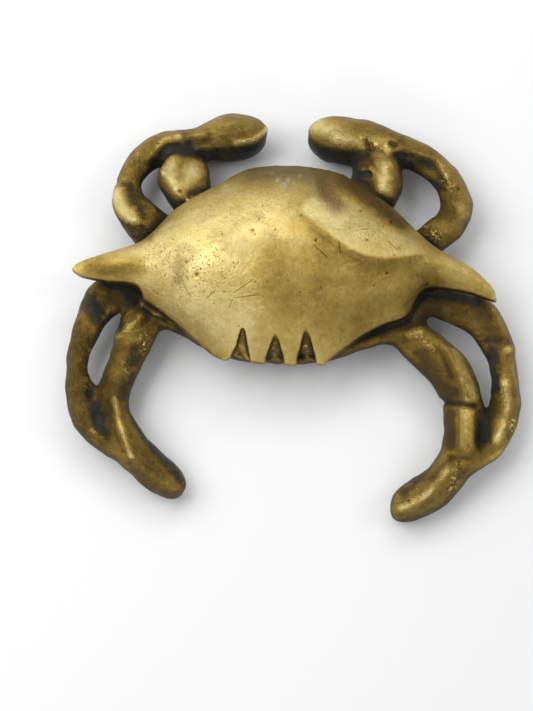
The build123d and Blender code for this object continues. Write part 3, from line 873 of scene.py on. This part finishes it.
# Noises: scale in turns a millimetre, detail and roughness
CLOUD = (0.10, 5.0, 0.6)
BLOTCH = (0.35, 4.0, 0.65)
GRAIN = (1.1, 5.0, 0.75)
STREAKS = (1.0, 3.0, 0.6)
PATCHES = (0.16, 2.0, 0.5)
CAST_RELIEF = (0.75, 7.0, 0.72)
FINE_RELIEF = (2.6, 3.0, 0.6)
STREAK_STRETCH = (0.25, 3.0, 1.0)
STREAK_TURN = (0.2, 0.1, 0.6)

# How far each mark and noise shifts the tone, which runs from 0, rubbed bright, to 1, black.
# Hollows, rubbed and duller parts and oxide marks carry painted shade and highlight as well as real
# wear and oxide, and glints are painted highlights
TONE = {
    "cavity": 0.34, "cloud": 0.40, "blotch": 0.28, "grain": 0.30, "polish_and_highlight": -0.22, "dull_and_shade": 0.17,
    "patina_and_shade": 0.55, "glint": -0.50, "holes": 0.40, "scratches": 0.30,
}
# Spans: a value's low and high end, and what they become where that isn't 0 and 1
CAVITY_SPAN = (-0.02, 0.13, -0.15, 1.0)
SHELTER_SPAN = (0.20, 0.60)
CREST_SPAN = (-0.05, -0.20)
BELOW_SPAN = (0.80, -0.10)
PATINA_AND_SHADE_SPREAD = (0.36, 0.56, 0.15, 1.0)
GLINT_SPREAD = (0.48, 0.60, -0.25, 1.0)
CRUST_SPREAD = (0.40, 0.54)
STAIN_SPREAD = (0.35, 0.60)
METAL_SPAN = (0.55, 1.0, 1.0, 0.60)
COARSE_SPAN = (0.38, 0.62, 0.55, 1.0)
ROUGHNESS_ENDS = (0.1, 0.9)
ROUGHNESS_RANGE = 0.24
STREAK_ROUGHNESS = 0.22

# Pits: cells a millimetre and radius in cells; what close pitting adds to the share of cells with
# a pit, the share of the fine pits there, and how much rarer the large ones are
SMALL_PITS = (1.0, 0.26)
LARGE_PITS = (0.30, 0.07)
FINE_PITS = (1.9, 0.36)
PITTED_SHARE = 0.55
FINE_SHARE = 0.7
LARGE_SHARE = 0.6

# Stains over the brass: colour and strength. The black-green one also carries painted shade
RED_BROWN = ((0.165, 0.090, 0.028), 0.85)
OLIVE_GREY = ((0.24, 0.22, 0.13), 0.45)
CRUST = (0.62, 0.60, 0.48)
BLACK_GREEN = ((0.066, 0.068, 0.048), 0.6)

# Relief: the fine one's share of the cast one, heights in millimetres, and strengths
FINE_RELIEF_SHARE = 0.25
FINE_RELIEF_STRENGTH = 0.7
STREAK_RELIEF = (0.03, 0.35)
PIT_RELIEF = (0.22, 0.8)


def brass_tone(nodes, finish, noises):
    """The tone of cast brass before its pits: painted shade from hollows and flanks, noises and
    marks.
    """
    cloud, blotch, grain = noises
    # Painted shade in sheltered places, in hollows and on surfaces that face down, and crests lit
    # up by rubbed wear and a painted highlight
    shelter_shade = nodes.span(nodes.attribute("shelter_shade"), *SHELTER_SPAN)
    crest = nodes.span(nodes.attribute("cavity"), *CREST_SPAN)
    below = nodes.span(nodes.attribute("upward"), *BELOW_SPAN)
    tone = nodes.shift(finish["mean"], shelter_shade, finish["shelter_shade"])
    tone = nodes.shift(tone, nodes.span(nodes.attribute("cavity"), *CAVITY_SPAN), TONE["cavity"])
    tone = nodes.shift(tone, below, finish["flank_shade"])
    tone = nodes.shift(tone, crest, -finish["crests"])
    tone = nodes.swing(tone, cloud, TONE["cloud"])
    tone = nodes.swing(tone, blotch, TONE["blotch"])
    tone = nodes.swing(tone, grain, TONE["grain"])
    tone = nodes.shift(tone, nodes.attribute("polish_and_highlight"), TONE["polish_and_highlight"])
    tone = nodes.shift(tone, nodes.attribute("dull_and_shade"), TONE["dull_and_shade"])
    # Oxide with painted shade, and painted glints, each broken up by a noise
    for mark, noise, spread in (("patina_and_shade", blotch, PATINA_AND_SHADE_SPREAD), ("glint", grain, GLINT_SPREAD)):
        broken = nodes.math("MULTIPLY", nodes.attribute(mark), nodes.span(noise, *spread))
        tone = nodes.shift(tone, broken, TONE[mark])
    return tone


def brass_pits(nodes, even, pits):
    """Casting pits: 1 in their middle."""
    pitted = nodes.attribute("pitted")
    share = nodes.shift(pits, pitted, PITTED_SHARE)
    small = nodes.spots(even, *SMALL_PITS, share)
    large = nodes.spots(even, *LARGE_PITS, nodes.math("MULTIPLY", share, LARGE_SHARE))
    fine = nodes.spots(even, *FINE_PITS, nodes.math("MULTIPLY", pitted, FINE_SHARE))
    return nodes.math("MAXIMUM", nodes.math("MAXIMUM", small, fine), large)


def brass_colour(nodes, tone, cloud, grain):
    """The colour of a tone, with its stains and crusts."""
    colour = nodes.ramp(tone, BRASS)
    for mark, (stain, strength) in (("red", RED_BROWN), ("grey", OLIVE_GREY)):
        colour = nodes.mix(nodes.math("MULTIPLY", nodes.attribute(mark), strength), colour, stain)
    crust = nodes.math("MULTIPLY", nodes.attribute("pale"), nodes.span(grain, *CRUST_SPREAD))
    colour = nodes.mix(crust, colour, CRUST)
    # Black-green oxide and painted shade where the clefts and dark flanks are marked
    stain, strength = BLACK_GREEN
    share = nodes.math("MULTIPLY", nodes.attribute("patina_and_shade"), nodes.span(cloud, *STAIN_SPREAD))
    return nodes.mix(nodes.math("MULTIPLY", share, strength), colour, stain)


def brass_material(name):
    """Cast brass of one finish."""
    finish = FINISHES[name]
    nodes = Nodes(name)
    even = nodes.places((1, 1, 1))
    cloud, blotch, grain = (nodes.noise(even, *noise) for noise in (CLOUD, BLOTCH, GRAIN))
    streaks = nodes.noise(nodes.places(STREAK_STRETCH, STREAK_TURN), *STREAKS)
    tone = brass_tone(nodes, finish, (cloud, blotch, grain))
    holes = brass_pits(nodes, even, finish["pits"])
    tone = nodes.shift(tone, holes, TONE["holes"])
    if name == SCRATCHED:
        lines = scratch_lines(nodes)
        holes = nodes.math("MAXIMUM", holes, lines)
        tone = nodes.shift(tone, lines, TONE["scratches"])
    inputs = nodes.shader.inputs
    nodes.put(inputs["Base Color"], brass_colour(nodes, tone, cloud, grain))
    nodes.put(inputs["Metallic"], nodes.span(tone, *METAL_SPAN))
    gloss = finish["gloss"]
    rough = nodes.span(tone, *ROUGHNESS_ENDS, gloss, gloss + ROUGHNESS_RANGE)
    nodes.put(inputs["Roughness"], nodes.swing(rough, streaks, STREAK_ROUGHNESS))
    relief = finish["relief"]
    coarse = nodes.span(nodes.noise(even, *PATCHES), *COARSE_SPAN)
    normal = nodes.bump(nodes.noise(even, *CAST_RELIEF), relief, coarse)
    fine = nodes.noise(even, *FINE_RELIEF)
    normal = nodes.bump(fine, relief * FINE_RELIEF_SHARE, FINE_RELIEF_STRENGTH, normal)
    normal = nodes.bump(streaks, *STREAK_RELIEF, normal)
    normal = nodes.bump(nodes.math("SUBTRACT", 1.0, holes), *PIT_RELIEF, normal)
    nodes.put(inputs["Normal"], normal)
    return nodes.material


def dress(pieces):
    """Gives every piece the brass of its slot."""
    materials = {name: brass_material(name) for name in FINISHES}
    for name, piece in pieces.items():
        piece.data.materials.append(materials[SLOTS[name]])


# Stage: a pale floor, an even pale surround and soft lamps, in metres
FLOOR_SIZE = 4.0
FLOOR_COLOUR = (0.99, 0.99, 0.99)
FLOOR_ROUGHNESS = 0.9
SURROUND = 0.31
# Each lamp: direction it comes from (azimuth from +X, elevation, degrees), distance, width, height
# and brightness of its surface
LAMPS = {
    "key": (158, 50, 0.62, 0.60, 0.50, 2.75),
    "back": (84, 45, 0.70, 0.50, 0.22, 3.2),
    "front": (-100, 32, 0.70, 0.60, 0.07, 5.0),
    "side": (4, 42, 0.70, 0.30, 0.26, 2.3),
}


def make_stage():
    """The floor that the crab stands on."""
    size = FLOOR_SIZE / 2
    mesh = bpy.data.meshes.new("floor")
    corners = [(-size, -size, 0), (size, -size, 0), (size, size, 0), (-size, size, 0)]
    mesh.from_pydata(corners, [], [(0, 1, 2, 3)])
    floor = bpy.data.objects.new("floor", mesh)
    bpy.context.scene.collection.objects.link(floor)
    material = bpy.data.materials.new("floor_white")
    material.use_nodes = True
    shader = material.node_tree.nodes["Principled BSDF"]
    shader.inputs["Base Color"].default_value = (*FLOOR_COLOUR, 1)
    shader.inputs["Roughness"].default_value = FLOOR_ROUGHNESS
    shader.inputs["Specular IOR Level"].default_value = 0.0
    mesh.materials.append(material)


def make_lights():
    """An even surround and one soft box for each lamp, aimed at the crab."""
    scene = bpy.context.scene
    scene.world = bpy.data.worlds.new("surround")
    scene.world.use_nodes = True
    background = scene.world.node_tree.nodes["Background"]
    background.inputs["Color"].default_value = (SURROUND, SURROUND, SURROUND, 1)
    background.inputs["Strength"].default_value = 1.0
    for name, (azimuth, elevation, distance, width, height, brightness) in LAMPS.items():
        light = bpy.data.lights.new(name, "AREA")
        light.shape = "RECTANGLE"
        light.size, light.size_y = width, height
        light.energy = brightness * math.pi * width * height
        lamp = bpy.data.objects.new(name, light)
        scene.collection.objects.link(lamp)
        a, e = math.radians(azimuth), math.radians(elevation)
        away = Vector((math.cos(a) * math.cos(e), math.sin(a) * math.cos(e), math.sin(e)))
        lamp.location = away * distance
        lamp.rotation_euler = away.to_track_quat("Z", "Y").to_euler()


# The camera's sensor in millimetres, and the nearest and farthest that it sees, in metres
SENSOR = 36.0
CLIP_START = 0.01
CLIP_END = 20.0


def make_camera():
    """The photograph's camera."""
    data = bpy.data.cameras.new("camera")
    data.sensor_width = SENSOR
    data.lens = FOCAL_PIXELS / IMAGE_HEIGHT * data.sensor_width
    data.clip_start, data.clip_end = CLIP_START, CLIP_END
    camera = bpy.data.objects.new("camera", data)
    bpy.context.scene.collection.objects.link(camera)
    camera.location = EYE * METRES
    camera.rotation_euler = BACK.to_track_quat("Z", "Y").to_euler()
    bpy.context.scene.camera = camera


dress(build_pieces())
make_stage()
make_lights()
make_camera()
bpy.context.scene.view_settings.view_transform = "Standard"
